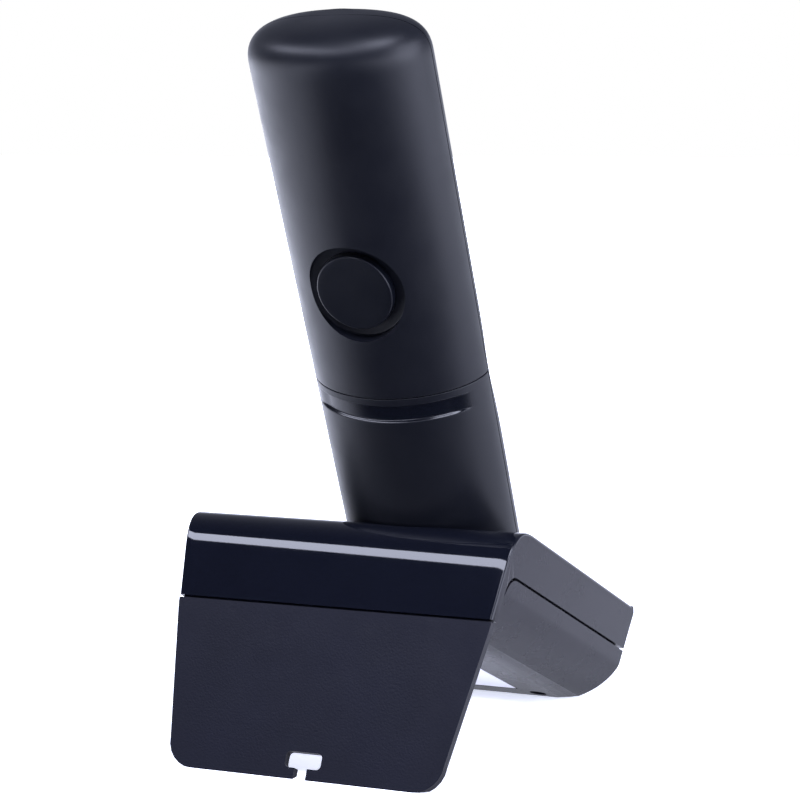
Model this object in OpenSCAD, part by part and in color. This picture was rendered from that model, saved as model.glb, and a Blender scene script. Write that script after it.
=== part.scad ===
// Cordless phone: a handset with a keypad that stands in a tent-shaped charging base.
// Millimetres, +Z up. The origin is on the desk, under the middle of the whole phone.
// +Y is the side of the thin rear leg, -Y is the side of the keypad.

/* [Base] */
// Width of the base at its ridge
base_w = 100; // [94:1:110]
// Height of the sharp ridge line, before it is rounded
ridge_h = 66.4; // [62:0.1:70]
// Length of the front slab from the ridge to its front edge
slab_len = 104.1; // [98:0.1:112]
// Slope of the slab below horizontal, in degrees
slab_slope = 23.1; // [21:0.1:25]
// Depth of the slab under its top plane
slab_depth = 30.2; // [29:0.1:32]
// Slope of the front end face, in degrees
end_slope = 60.8; // [56:0.1:66]
// Slope of the rear leg, in degrees
leg_slope = 63.3; // [60:0.1:66]
// Thickness of the rear leg
leg_t = 2.5; // [2:0.1:3]
// Inward draft of the side walls, in mm for each mm of depth
side_draft = 0.114; // [0.08:0.002:0.14]
// Radius of the rounded ridge
crown_r = 10; // [8:0.5:11]
// Distance from the sharp ridge line to where its rounding starts
crown_run = 13; // [11.5:0.1:13.5]
// Length of the glossy band on the rear leg, from the sharp ridge
band_len = 26.4; // [22:0.1:30]
// Depth of the seam in the side walls under the slab's top
seam_depth = 12.9; // [11:0.1:15]

/* [Handset] */
// Half width of the handset at its middle
hs_half_w = 25.3; // [24:0.1:25.8]
// Depth of the rear shell, from the parting line to the back
hs_rear = 17.7; // [17:0.1:18.5]
// Depth of the front shell, from the parting line to the face
hs_front = 6.6; // [6:0.1:7]
// Height of the handset's top above the ridge line, along its own axis
hs_top = 138.1; // [134:0.1:142]
// Depth of the handset's foot under the ridge line, along its own axis
hs_foot = 31; // [30:0.5:31.5]
// Lean of the docked handset from vertical, in degrees
hs_lean = 23.4; // [22:0.1:25]
// Offset of the handset from the middle of the base
hs_offset = -14.4; // [-16:0.1:-12]
// Wall thickness of the handset's shells
hs_wall = 1.8; // [1.6:0.1:2]
// Height of the seam between rear shell and battery door
door_top = 36; // [35:0.5:38]
// Height of the centre of the round speaker cover
disc_z = 67.3; // [65:0.1:70]
// Radius of the round speaker cover
disc_r = 10.7; // [10:0.1:11.5]
// Clearance between the handset and its cradle
cradle_gap = 0.6; // [0.5:0.1:0.8]

/* [Travel] */
// Travel of a handset key
key_travel = 0.8; // [0.5:0.1:1]
// Travel of the page key
page_travel = 1; // [0.6:0.1:1.2]
// Travel of the battery door before it comes off
door_travel = 4; // [3:0.5:4]

/* [Hidden] */
$fn = 48;
// Distance from the ridge line to the middle of the footprint, along Y
origin_y = 22.72;
// Thickness of the fascia, the skin under it, and the base's walls
fascia_t = 2;
skin_t = 1.5;
wall = 2;
// Width of the shadow gap along the seams of the base
gap = 0.7;
// Thin lip of the fascia over the side walls, and the walls' rim under it
lip_t = 0.7;
rim = 0.9;
// Depth of the seam under the leg's plane, and the radius of its bend
seam_rear = 3.4;
seam_r = 5.5;
// Joining tongue inside the seam: its thickness and reach to each side
tongue_t = 1.2;
tongue_h = 2.5;
// Room between the housing and the desk, filled by the rubber feet
foot_gap = 0.3;
front_edge_r = 1.6;
// Front end of the fascia, before the slab's edge
fascia_end = 3;
eps = 0.01;

// Joint of slab and leg
apex = slab_slope + leg_slope;
leg_len = ridge_h / sin(leg_slope);
// Handset: where its straight part ends, and the heights of its roundings
hs_dome = 11.8;
hs_dome_z = hs_top - hs_dome;
foot_r = 4;
// Parting plane of the two shells, and the rounding of the front shell's long edges
parting_y = -19;
front_r = 6.8;
door_t = 1.5;
door_play = 0.3;
// Thumb recess under the door's seam
thumb_z = 31.3;
thumb_w = 45;
thumb_h = 5.4;
face_y = parting_y - hs_front;
// Battery bay, centred across the handset
bay_w = 24;
bay_low = -23;
bay_high = 31;
bay_floor = -15.6;
cell_r = 5.2;
cell_len = 44.5;
cell_z = -18;
cell_y = -9.4;
// Round speaker cover and the recess round it
disc_x = 1.1;
recess_r = 13.9;
recess_depth = 5.2;
cover_t = 2.8;
// Keypad
key_w = 11;
key_h = 6.2;
key_pitch_x = 13.2;
key_pitch_z = 9.2;
key_proud = 1;
key_play = 0.25;
key_row0 = 14;
flange_t = 0.8;
mat_t = 1.2;
// Depth of the handset's boards and mat behind the face
mat_y = face_y + hs_wall + flange_t + key_travel + 0.15;
pcb_y = mat_y + mat_t + 0.05;
pcb_t = 1.2;
// Display
lens_w = 36;
lens_h = 42;
lens_z = 92;
lens_t = 1.2;
// Page key in the slab
page_x = 29;
page_s = 50;
page_r = 6.5;
// Floor of the cradle, and the pocket round the pedestal for the battery door
pocket_z = -hs_foot - door_travel - 1;
cup_t = 1.5;
// Circuit board of the base
board_d = 14;
board_t = 1.6;
// Sockets under the slab
line_x = 19.3;
power_x = 31.5;
socket_s = 24;
// Rating label on the slab's underside
label_w = 46;
label_l = 31;
label_x = 1.4;
label_s = 72.5;
// Tray step between shell and battery door
tray_in = door_t + door_play;
key_names = ["1", "2", "3", "4", "5", "6", "7", "8", "9", "star", "0", "hash"];

BASE_NODES = ["top_fascia", "upper_housing", "lower_housing", "cradle_cup", "page_key", "page_switch",
    "base_board", "line_socket", "power_socket", "charge_pins", "rating_label", "rubber_feet",
    "base_screws"];
HANDSET_NODES = ["rear_shell", "front_shell", "battery_door", "speaker_cover", "loudspeaker",
    "earpiece", "microphone", "display_lens", "display_module", "key_mat", "handset_board",
    "battery_cell_left", "battery_cell_right", "battery_contacts", "charge_pads", "aerial",
    "handset_screws"];
KEY_NODES = ["talk_key", "end_key", "menu_key_left", "menu_key_right", "cursor_key"];

// ---- Shared outlines of the base, as points in the Y-Z plane ----

// Point on the slab: s along it from the ridge, d under its top plane
function slab_pt(s, d) =
    [-s * cos(slab_slope) + d * sin(slab_slope), ridge_h - s * sin(slab_slope) - d * cos(slab_slope)];
// Point on the leg: s along it from the ridge, m under its rear plane
function leg_pt(s, m) =
    [s * cos(leg_slope) - m * sin(leg_slope), ridge_h - s * sin(leg_slope) - m * cos(leg_slope)];
// Point at depth m under the leg's plane and depth d under the slab's plane
function inner_pt(m, d) =
    [(d * cos(leg_slope) - m * cos(slab_slope)) / sin(apex),
     ridge_h - (m * sin(slab_slope) + d * sin(leg_slope)) / sin(apex)];
// Rounded corner between those two depths
function bend(m, d, r) =
    [for (i = [0:16]) let (a = 90 + slab_slope - i / 16 * apex) inner_pt(m + r, d + r) + r * [cos(a), sin(a)]];
// The ridge's rounding, k under its surface: an arc-like curve that starts crown_run from the sharp
// ridge and is as deep at its middle as an arc of crown_r
function crown(k, n = 20) =
    let (half = apex / 2, corner = inner_pt(k, k), run = crown_run - k * tan(half),
         fall = (crown_r - k) * (1 / cos(half) - 1), rho = 1 - fall / (run * sin(half)),
         a = corner + run * [-cos(slab_slope), -sin(slab_slope)], c = corner + run * [cos(leg_slope), -sin(leg_slope)],
         w = rho / (1 - rho))
    [for (i = [0:n]) let (t = i / n, u = 1 - t) (u*u*a + 2*w*u*t*corner + t*t*c) / (u*u + 2*w*u*t + t*t)];
// Point on the front end face: t down from the slab's edge, k behind the face
function end_pt(t, k) =
    slab_pt(slab_len, 0) + [t * cos(end_slope) + k * sin(end_slope), -t * sin(end_slope) + k * cos(end_slope)];
// Distance down the end face, k behind it, at depth d under the slab
function end_at(d, k) = let (run = end_slope + slab_slope) end_pt((d - k * cos(run)) / sin(run), k);
function reversed(v) = [for (i = [len(v) - 1:-1:0]) v[i]];
// Cubic curve through two end points
function curve(a, b, c, d, n) =
    [for (i = [0:n]) let (t = i / n, u = 1 - t) u*u*u*a + 3*u*u*t*b + 3*u*t*t*c + t*t*t*d];

// Half width of the base at a depth under the slab's plane
function half_w(d) = base_w / 2 - side_draft * d;

// Right half of the slab's section, with its soft lower edge; k is the inset
function slab_half(k) = concat(
    [[half_w(-1) - k, 1]],
    curve([half_w(17.5) - k, -17.5], [half_w(21) - k, -21],
          [base_w / 2 - 10 - k, k - slab_depth], [base_w / 2 - 20, k - slab_depth], 12));
function slab_section(k) = concat(slab_half(k), [for (p = reversed(slab_half(k))) [-p[0], p[1]]]);

module in_slab() {
    translate([0, 0, ridge_h])
        rotate([slab_slope, 0, 0])
            children();
}
module in_leg() {
    translate([0, 0, ridge_h])
        rotate([-leg_slope, 0, 0])
            children();
}
// Extrudes a Y-Z outline across the base
module across(w) {
    rotate([90, 0, 90])
        linear_extrude(w, center = true)
            children();
}
// Extrudes an X-depth section along the slab, from behind the ridge to past the front
module along(behind = 90, front = 20) {
    in_slab()
        translate([0, behind, 0])
            rotate([90, 0, 0])
                linear_extrude(behind + slab_len + front)
                    children();
}
// Everything between the drafted side planes, inset by k
module between_sides(k) {
    along()
        polygon([[half_w(-5) - k, 5], [half_w(90) - k, -90], [k - half_w(90), -90], [k - half_w(-5), 5]]);
}
module side_ring(k, t) {
    difference() {
        between_sides(k);
        between_sides(k + t);
    }
}
// Polygon of a rectangle with round corners
function round_rect(w, h, r, n = 5) = [for (q = [0:3], i = [0:n]) let (a = 90 * q + 90 * i / n)
    [(q == 0 || q == 3 ? 1 : -1) * (w / 2 - r) + r * cos(a), (q < 2 ? 1 : -1) * (h / 2 - r) + r * sin(a)]];

// ---- Shape of the handset ----
// In its own frame x runs across, y towards its back and z along it; y = 0 lies just behind its back.

module in_handset() {
    translate([hs_offset, -1, ridge_h])
        rotate([-hs_lean, 0, 0])
            children();
}
// Fractions of the dome and of the foot rounding at a height, for a surface inset by k
function dome_u(z, k) = min(1, max(0, (z - hs_dome_z) / (hs_dome - k)));
function foot_cut(z, k) =
    let (r = max(foot_r - k, 0.6), v = min(1, max(0, (r + k - hs_foot - z) / r))) r * (1 - sqrt(1 - v * v));
// Shallow waist in the sides of the front shell, and its fuller lower part
function waist(z) = 1.2 * exp(-pow((z - 36) / 9, 2)) - 0.35 / (1 + exp((z - 22) / 3));
function hs_w(z, k) = (hs_half_w - k) * pow(1 - pow(dome_u(z, k), 3), 1 / 3) - foot_cut(z, k);
function rear_d(z, k) = (hs_rear - k) * pow(1 - pow(dome_u(z, k), 2.9), 1 / 2.9) - foot_cut(z, k);
function front_d(z, k) = hs_front - k - 0.6 * foot_cut(z, k) - 2.2 * pow(dome_u(z, k), 6);
function spow(v, e) = pow(max(v, 0), e);
// Half section at height z: rear side or front side of the parting plane
function rear_ring(z, k, n) = [for (i = [0:n]) let (a = 180 * i / n)
    [sign(cos(a)) * hs_w(z, k) * spow(abs(cos(a)), 2 / 1.9), rear_d(z, k) * spow(sin(a), 2 / 1.9) + parting_y, z]];
// The front side is flat between two round long edges; n is odd
function front_ring(z, k, n) = [for (i = [0:n])
    let (m = (n - 1) / 2, j = min(i, n - i), side = i <= m ? -1 : 1, a = 90 * j / m, r = min(front_r - k, 0.8 * hs_w(z, k)))
    [side * (hs_w(z, k) - r * (1 - cos(a)) - waist(z) * sin(a)), parting_y - front_d(z, k) * sin(a), z]];
// Heights of the rings of a surface inset by k
function levels(k, mid) = concat(
    [for (i = [0:3]) k - hs_foot + max(foot_r - k, 0.6) * (1 - cos(5 + 85 * i / 3))],
    mid,
    [for (i = [0:9]) hs_dome_z + (hs_dome - k) * sin(88 * i / 9)]);

// Closed solid through a stack of rings of equal length
module loft(rings) {
    n = len(rings[0]);
    last = len(rings) - 1;
    sides = [for (j = [0:last - 1], i = [0:n - 1]) let (a = j * n + i, b = j * n + (i + 1) % n)
        each [[a, a + n, b], [b, a + n, b + n]]];
    polyhedron(points = [for (r = rings) each r],
        faces = concat([[for (i = [0:n - 1]) i]], sides, [[for (i = [n - 1:-1:0]) last * n + i]]),
        convexity = 4);
}
module rear_form(k) {
    loft([for (z = levels(k, [])) rear_ring(z, k, 26)]);
}
module front_form(k) {
    loft([for (z = levels(k, [-12, 12, 20, 26, 31, 36, 41, 46, 54, 90])) front_ring(z, k, 23)]);
}
// Slab of space between two heights of the handset
module between_z(low, high) {
    translate([-40, -40, low])
        cube([80, 60, high - low]);
}

// ---- Base ----

module well_section(grow) {
    low = hs_foot - foot_r;
    rear = rear_ring(-low, -grow, 22);
    front = front_ring(-low, -grow, 17);
    polygon([for (p = concat(rear, front)) [p[0], p[1]]]);
}
// Prism along the handset's axis that is larger than the handset by grow
module well(grow, low, high = 30) {
    in_handset()
        translate([0, 0, low])
            linear_extrude(high - low)
                well_section(grow);
}

function under_fascia(k, front) = concat([front], crown(k), [leg_pt(band_len, k)]);

// Side view of the fascia down to depth t, grown upwards by up
function fascia_outline(up, t) = concat(under_fascia(-up, slab_pt(slab_len - fascia_end, -up)),
    reversed(under_fascia(t, slab_pt(slab_len - fascia_end, t))));
// The fascia's body: a lip across the whole width, and a thicker part between the walls
module fascia_body(up, over) {
    intersection() {
        across(base_w + 10)
            polygon(fascia_outline(up, lip_t));
        between_sides(-over);
    }
    intersection() {
        across(base_w + 10)
            polygon(fascia_outline(up, fascia_t));
        between_sides(rim);
    }
}

module top_fascia() {
    color("#16181f")
        difference() {
            fascia_body(0, 0);
            well(cradle_gap, pocket_z - 4);
            in_slab()
                translate([page_x, -page_s, -fascia_t - 1])
                    cylinder(r = page_r + 0.3, h = fascia_t + 2);
        }
}

// Outline of the upper housing seen from the side
function upper_outline() = concat(
    [end_at(seam_depth, 0), end_pt(front_edge_r, 0), slab_pt(slab_len - front_edge_r, 0)],
    crown(0), [leg_pt(band_len, 0), leg_pt(band_len, seam_rear)],
    reversed(bend(seam_rear, seam_depth, seam_r)));

module tongue_zone(grow) {
    across(base_w + 10)
        polygon(concat(
            [end_at(seam_depth - tongue_h - grow, wall)],
            bend(seam_rear - 0.6 - grow, seam_depth - tongue_h - grow, seam_r),
            [leg_pt(band_len + 3, seam_rear - 0.6 - grow), leg_pt(band_len + 3, seam_rear + 2.6)],
            reversed(bend(seam_rear + 2.6, seam_depth + 3, seam_r)),
            [end_at(seam_depth + 3, wall)]));
}

module upper_housing() {
    color("#5a5964")
        difference() {
            union() {
                intersection() {
                    across(base_w + 10)
                        polygon(upper_outline());
                    side_ring(0, wall);
                }
                intersection() {
                    across(base_w + 10)
                        polygon(concat(
                            under_fascia(fascia_t, end_at(fascia_t, 0)),
                            reversed(under_fascia(fascia_t + skin_t, end_at(fascia_t + skin_t, 0)))));
                    between_sides(0);
                }
                intersection() {
                    across(base_w + 10)
                        polygon([end_at(seam_depth, 0), end_pt(front_edge_r, 0),
                            slab_pt(slab_len - front_edge_r, 0), slab_pt(slab_len - fascia_end - 1, 0),
                            slab_pt(slab_len - fascia_end - 1, fascia_t + skin_t),
                            end_at(fascia_t + skin_t, wall), end_at(seam_depth, wall)]);
                    between_sides(0);
                }
            }
            fascia_body(1, 1);
            intersection() {
                tongue_zone(0.1);
                side_ring(wall, tongue_t + 0.2);
            }
            well(cradle_gap + cup_t + 0.1, pocket_z - 4);
            in_slab()
                translate([page_x, -page_s, -6])
                    cylinder(r = page_r + 0.3, h = 10);
        }
}

// Outline of the lower housing without the leg's free length
function lower_outline() = concat(
    [end_at(seam_depth + gap, 0)],
    bend(seam_rear + gap, seam_depth + gap, seam_r),
    [leg_pt(band_len + gap, seam_rear + gap), leg_pt(band_len + gap, 0), leg_pt(leg_len + 4, 0),
     leg_pt(leg_len + 4, leg_t), inner_pt(leg_t, slab_depth), end_at(slab_depth, 0)]);

module leg_trim() {
    // Keeps the leg's free length inside a trapezoid with round lower corners
    corner_r = 8;
    w = half_w(leg_len * sin(apex));
    x = w - corner_r - corner_r * side_draft;
    in_leg()
        translate([0, 0, -leg_t])
            linear_extrude(leg_t + 4)
                polygon(concat([[-60, -20], [60, -20], [60, 30], [half_w(30), 30]],
                    [for (i = [0:6]) let (a = 90 * i / 6) [x + corner_r * cos(a), leg_len - corner_r + corner_r * sin(a)]],
                    [for (i = [0:6]) let (a = 90 + 90 * i / 6) [-x + corner_r * cos(a), leg_len - corner_r + corner_r * sin(a)]],
                    [[-half_w(30), 30], [-60, 30]]));
}

module cable_slot() {
    in_leg()
        translate([0, 0, -leg_t - 2])
            linear_extrude(leg_t + 4) {
                translate([-0.3, 69])
                    polygon(round_rect(10.6, 4.4, 1.2));
                translate([-1.8, 70])
                    square([3.7, 8]);
            }
}

module lower_housing() {
    color("#34363f")
        difference() {
            union() {
                difference() {
                    intersection() {
                        across(base_w + 10)
                            polygon(lower_outline());
                        between_sides(0);
                        union() {
                            along()
                                polygon(slab_section(0));
                            leg_trim();
                        }
                    }
                    intersection() {
                        across(base_w + 10)
                            polygon([end_at(0, wall), slab_pt(0, 0), inner_pt(seam_rear + 2.6, slab_depth - wall),
                                end_at(slab_depth - wall, wall)]);
                        along()
                            polygon(slab_section(wall));
                        across(base_w + 10)
                            polygon(concat([end_at(0, wall)], bend(seam_rear + 2.6, 0, seam_r),
                                [inner_pt(seam_rear + 2.6, slab_depth), end_at(slab_depth, wall)]));
                    }
                }
                intersection() {
                    tongue_zone(0);
                    side_ring(wall + 0.1, tongue_t);
                }
                intersection() {
                    tongue_zone(0);
                    across(base_w + 10)
                        polygon(lower_outline());
                    side_ring(wall - 0.2, tongue_t + 0.3);
                }
                intersection() {
                    across(base_w + 10)
                        polygon([end_at(seam_depth - tongue_h, wall + 0.1),
                            end_at(seam_depth + gap + eps, wall + 0.1), end_at(seam_depth + gap + eps, wall - 0.2),
                            end_at(seam_depth + 3, wall - 0.2), end_at(seam_depth + 3, wall + tongue_t),
                            end_at(seam_depth - tongue_h, wall + tongue_t)]);
                    between_sides(wall + 0.1);
                }
                lower_bosses();
                seam_backing();
            }
            translate([-80, -150, -20])
                cube([160, 150 - 20, 20 + foot_gap]);
            translate([-80, -60, -20])
                cube([160, 160, 20]);
            cable_slot();
            sockets_space();
            foot_recess();
            screw_bores();
            in_slab()
                translate([label_x, -label_s, -slab_depth - 1])
                    linear_extrude(1.15)
                        square([label_w + 1, label_l + 1], center = true);
        }
}

// Step on the leg's upper edge that closes the seam under the fascia from behind
module seam_backing() {
    intersection() {
        across(base_w + 10)
            polygon([leg_pt(band_len + 0.05, 1), leg_pt(band_len + gap + 0.5, 1),
                leg_pt(band_len + gap + 0.5, leg_t), leg_pt(band_len + 0.05, seam_rear)]);
        between_sides(1);
    }
}

screw_places = [[-27, 93], [27, 93], [30, 10]];
module lower_bosses() {
    in_slab()
        for (p = screw_places)
            translate([p[0], -p[1], -slab_depth + 1])
                cylinder(r = 3.2, h = slab_depth - 1 - seam_depth - 2);
}
module screw_bores() {
    in_slab()
        for (p = screw_places)
            translate([p[0], -p[1], -slab_depth - 1]) {
                cylinder(r = 1.3, h = 40);
                cylinder(r = 2.6, h = 4);
            }
}
module base_screws() {
    color("silver")
        in_slab()
            for (p = screw_places)
                translate([p[0], -p[1], -slab_depth + 3 - 1.6])
                    difference() {
                        union() {
                            cylinder(r = 2.3, h = 1.6);
                            cylinder(r = 1.15, h = 12);
                        }
                        translate([0, 0, -eps])
                            cross_slot(2.6, 0.6, 0.8);
                    }
}
// Cross recess of a screw head
module cross_slot(size, t, depth) {
    translate([-size / 2, -t / 2, 0])
        cube([size, t, depth]);
    translate([-t / 2, -size / 2, 0])
        cube([t, size, depth]);
}

feet_x = [-24, 24];
module foot_shape(h) {
    for (x = feet_x)
        translate([x, foot_y(), 0])
            linear_extrude(h)
                polygon(round_rect(16, 2.2, 1));
}
// Middle of the flat land where the slab stands on the desk
function foot_y() = end_at(slab_depth, 0)[0] + 1.05;
module foot_recess() {
    translate([0, 0, -1])
        foot_shape(2.2);
}
module rubber_feet() {
    color("#202020")
        foot_shape(1.15);
}

module cradle_cup() {
    color("#16181f")
        difference() {
            intersection() {
                well(cradle_gap + cup_t, pocket_z - cup_t);
                across(base_w + 10)
                    polygon(concat(under_fascia(fascia_t, slab_pt(slab_len, fascia_t)),
                        [leg_pt(leg_len, fascia_t), slab_pt(slab_len, slab_depth)]));
            }
            difference() {
                well(cradle_gap, pocket_z);
                in_handset()
                    translate([0, 0, pocket_z - 1])
                        linear_extrude(-hs_foot - 0.3 - pocket_z + 1)
                            pedestal_section(parting_y - 3);
            }
            in_handset()
                for (x = pad_x)
                    translate([x, pad_y, pocket_z - 5])
                        cylinder(r = 1.7, h = 20);
        }
}
// Pedestal under the handset's foot, which leaves room for the sliding door
module pedestal_section(front) {
    pts = rear_ring(-hs_foot + 6, 4.4, 16);
    polygon(concat([for (p = pts) [p[0], p[1]]], front < parting_y ? [[-18, front], [18, front]] : []));
}

pad_x = [-9, 9];
pad_y = -14;
module charge_pins() {
    color("goldenrod")
        in_handset()
            for (x = pad_x)
                translate([x, pad_y, pocket_z - 2.5])
                    union() {
                        cylinder(r = 1.6, h = -hs_foot - 0.15 - pocket_z + 2.5);
                        translate([0, 0, -1])
                            cylinder(r = 2.4, h = 1.5);
                    }
}

module page_key() {
    color("#3a3c46")
        in_slab()
            translate([page_x, -page_s, 0]) {
                translate([0, 0, -fascia_t - skin_t - 1.2])
                    cylinder(r = page_r, h = fascia_t + skin_t + 1.8);
                translate([0, 0, -fascia_t - skin_t - 1.2])
                    cylinder(r = page_r + 1.4, h = 1.15);
                translate([0, 0, -board_d + 4.4 + page_travel])
                    cylinder(r = 1.5, h = board_d - 4.4 - page_travel - fascia_t - skin_t - 1);
            }
}
module page_switch() {
    color("#c8c8c8")
        in_slab()
            translate([page_x, -page_s, -board_d]) {
                translate([-3, -3, 0])
                    cube([6, 6, 3.4]);
                cylinder(r = 1.6, h = 4.2);
            }
}

module base_board() {
    color("#2e7d4f")
        in_slab()
            difference() {
                union() {
                    translate([-42, -93, -board_d - board_t])
                        cube([84, 45, board_t]);
                    translate([14, -93, -board_d - board_t])
                        cube([28, 80, board_t]);
                }
                for (p = screw_places)
                    translate([p[0], -p[1], -30])
                        cylinder(r = 3.6, h = 30);
            }
}

// Cavities where the plugs enter through the slab's underside
module sockets_space() {
    in_slab() {
        translate([line_x - 6.9, -socket_s - 6, -slab_depth - 1])
            cube([13.8, 12, 6]);
        translate([power_x, -socket_s, -slab_depth - 1])
            cylinder(r = 4.8, h = 6);
    }
}
module line_socket() {
    color("#1b1b1f")
        in_slab()
            translate([line_x, -socket_s, -slab_depth])
                difference() {
                    translate([-6.8, -5.8, 0])
                        cube([13.6, 11.6, slab_depth - board_d - board_t]);
                    translate([-4.9, -3.4, -1])
                        cube([9.8, 6.8, 11.5]);
                }
}
module power_socket() {
    color("#1b1b1f")
        in_slab()
            translate([power_x, -socket_s, -slab_depth + wall])
                union() {
                    difference() {
                        cylinder(r = 4.7, h = slab_depth - wall - board_d - board_t);
                        translate([0, 0, -1])
                            cylinder(r = 2.9, h = 10);
                    }
                    translate([0, 0, 1])
                        cylinder(r = 0.9, h = 9);
                }
}
module rating_label() {
    color("#b8bac8")
        in_slab()
            translate([label_x, -label_s, -slab_depth + 0.05])
                linear_extrude(0.1)
                    square([label_w, label_l], center = true);
}

// ---- Handset ----

// Posts for the screws under the battery door
post_x = 16.5;
post_z = -19.7;
head_y = -10.9;
module at_posts(y) {
    for (side = [-1, 1])
        translate([side * post_x, y, post_z])
            rotate([90, 0, 0])
                children();
}

module rear_outside() {
    intersection() {
        rear_form(0);
        between_z(door_top + 0.15, hs_top + 1);
    }
    intersection() {
        rear_form(tray_in);
        between_z(-hs_foot - 1, door_top + 1);
    }
    translate([0, 0, -hs_foot])
        linear_extrude(3.5)
            pedestal_section(parting_y);
}
module rear_inside() {
    intersection() {
        rear_form(hs_wall);
        between_z(door_top + 1.5, hs_top + 1);
    }
    difference() {
        intersection() {
            rear_form(tray_in + 1.5);
            between_z(-hs_foot - 1, door_top + 2);
        }
        bay_block(1.3);
        at_posts(0)
            cylinder(r = 2.6, h = 30);
    }
}
module rear_shell() {
    color("#23262f")
        in_handset()
            difference() {
                union() {
                    difference() {
                        rear_outside();
                        rear_inside();
                    }
                    intersection() {
                        rear_form(0.2);
                        translate([disc_x, 0, disc_z])
                            rotate([90, 0, 0])
                                cylinder(r = recess_r + 1.6, h = recess_depth + 1.6);
                    }
                }
                bay_block(0);
                translate([disc_x, 1, disc_z])
                    rotate([90, 0, 0]) {
                        cylinder(r = recess_r, h = recess_depth + 1);
                        cylinder(r = 2.1, h = 9);
                    }
                for (a = [45:90:315])
                    translate([disc_x + 7.6 * cos(a), 1, disc_z + 7.6 * sin(a)])
                        rotate([90, 0, 0])
                            cylinder(r = 1.2, h = 9);
                for (x = pad_x)
                    translate([x, pad_y, -hs_foot - 1])
                        cylinder(r = 2.9, h = 2);
                at_posts(head_y + 12)
                    cylinder(r = 2.1, h = 12);
                at_posts(head_y + 1)
                    cylinder(r = 1.05, h = 20);
            }
}
// Block of space for the two cells, grown by k
module bay_block(k) {
    translate([-bay_w / 2 - k, bay_floor - k, bay_low - k])
        cube([bay_w + 2 * k, 30, bay_high - bay_low + 2 * k]);
}

module battery_door() {
    color("#23262f")
        in_handset()
            difference() {
                union() {
                    difference() {
                        intersection() {
                            rear_form(0);
                            between_z(-hs_foot + 2.5, door_top - 0.15);
                        }
                        thumb_slot();
                    }
                    intersection() {
                        rear_form(0.8);
                        between_z(-hs_foot + 2.5, door_top - 0.15);
                    }
                }
                door_inside();
            }
}
// Open-ended copy of the door's inner surface, so that it slides off downwards
module door_inside() {
    rings = [for (z = [-hs_foot - 2, door_top + 2])
        [for (p = rear_ring(0, door_t, 26)) [p[0], p[1], z]]];
    loft(rings);
    translate([-40, parting_y - 60 + 0.15, -60])
        cube([80, 60, 120]);
}
module thumb_slot() {
    translate([0, 2, thumb_z])
        rotate([90, 0, 0])
            linear_extrude(18)
                polygon(round_rect(thumb_w, thumb_h, 2.6));
}

module speaker_cover() {
    color("#191c24")
        in_handset()
            translate([disc_x, -recess_depth, disc_z])
                rotate([-90, 0, 0])
                    rotate_extrude($fn = 72)
                        polygon([[0, -1.6], [1.95, -1.6], [1.95, 0.05], [3.4, 0.05], [3.4, 0.8], [disc_r, 0.8],
                            [disc_r, cover_t - 0.5], [disc_r - 0.15, cover_t - 0.15], [disc_r - 0.5, cover_t],
                            [0, cover_t]]);
}
module loudspeaker() {
    color("#50525a")
        in_handset()
            translate([disc_x, -recess_depth - 2, disc_z])
                rotate([90, 0, 0])
                    difference() {
                        cylinder(r = 11, h = 4.4);
                        translate([0, 0, -1])
                            cylinder(r = 9.4, h = 1.8);
                    }
}

// Openings of the face: display, keys, ear slots and microphone
function key_x(i) = (i % 3 - 1) * key_pitch_x;
function key_z(i) = key_row0 - floor(i / 3) * key_pitch_z;
talk_x = 13.8;
talk_z = 26.5;
menu_z = 62.5;
menu_x = 13.5;
cursor_z = 44.5;
cursor_r = 9;

module to_face() {
    translate([0, face_y, 0])
        rotate([-90, 0, 0])
            mirror([0, 1, 0])
                children();
}
// A key's outline, grown by k
module digit_outline(k) {
    polygon(round_rect(key_w + 2 * k, key_h + 2 * k, 2.6 + k));
}
module wide_outline(k) {
    polygon(round_rect(12.4 + 2 * k, 6.4 + 2 * k, 3.1 + k));
}
module menu_outline(k) {
    polygon(round_rect(11 + 2 * k, 5 + 2 * k, 2.4 + k));
}

module face_openings() {
    to_face() {
        for (i = [0:11])
            translate([key_x(i), key_z(i), -1])
                linear_extrude(hs_wall + 3)
                    digit_outline(key_play);
        for (s = [-1, 1]) {
            translate([s * talk_x, talk_z, -1])
                linear_extrude(hs_wall + 3)
                    wide_outline(key_play);
            translate([s * menu_x, menu_z, -1])
                linear_extrude(hs_wall + 3)
                    menu_outline(key_play);
        }
        translate([0, cursor_z, -1])
            cylinder(r = cursor_r + key_play, h = hs_wall + 3);
        translate([0, lens_z, -1])
            linear_extrude(1 + lens_t)
                polygon(round_rect(lens_w, lens_h, 3));
        translate([0, lens_z, -1])
            linear_extrude(hs_wall + 3)
                polygon(round_rect(lens_w - 3, lens_h - 3, 2));
        for (x = [-6, -3, 0, 3, 6])
            translate([x, 124, -1])
                linear_extrude(hs_wall + 3)
                    polygon(round_rect(1.4, 4 - abs(x) * 0.2, 0.65));
        translate([0, -22.5, -1])
            cylinder(r = 0.8, h = hs_wall + 3);
    }
}

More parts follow.
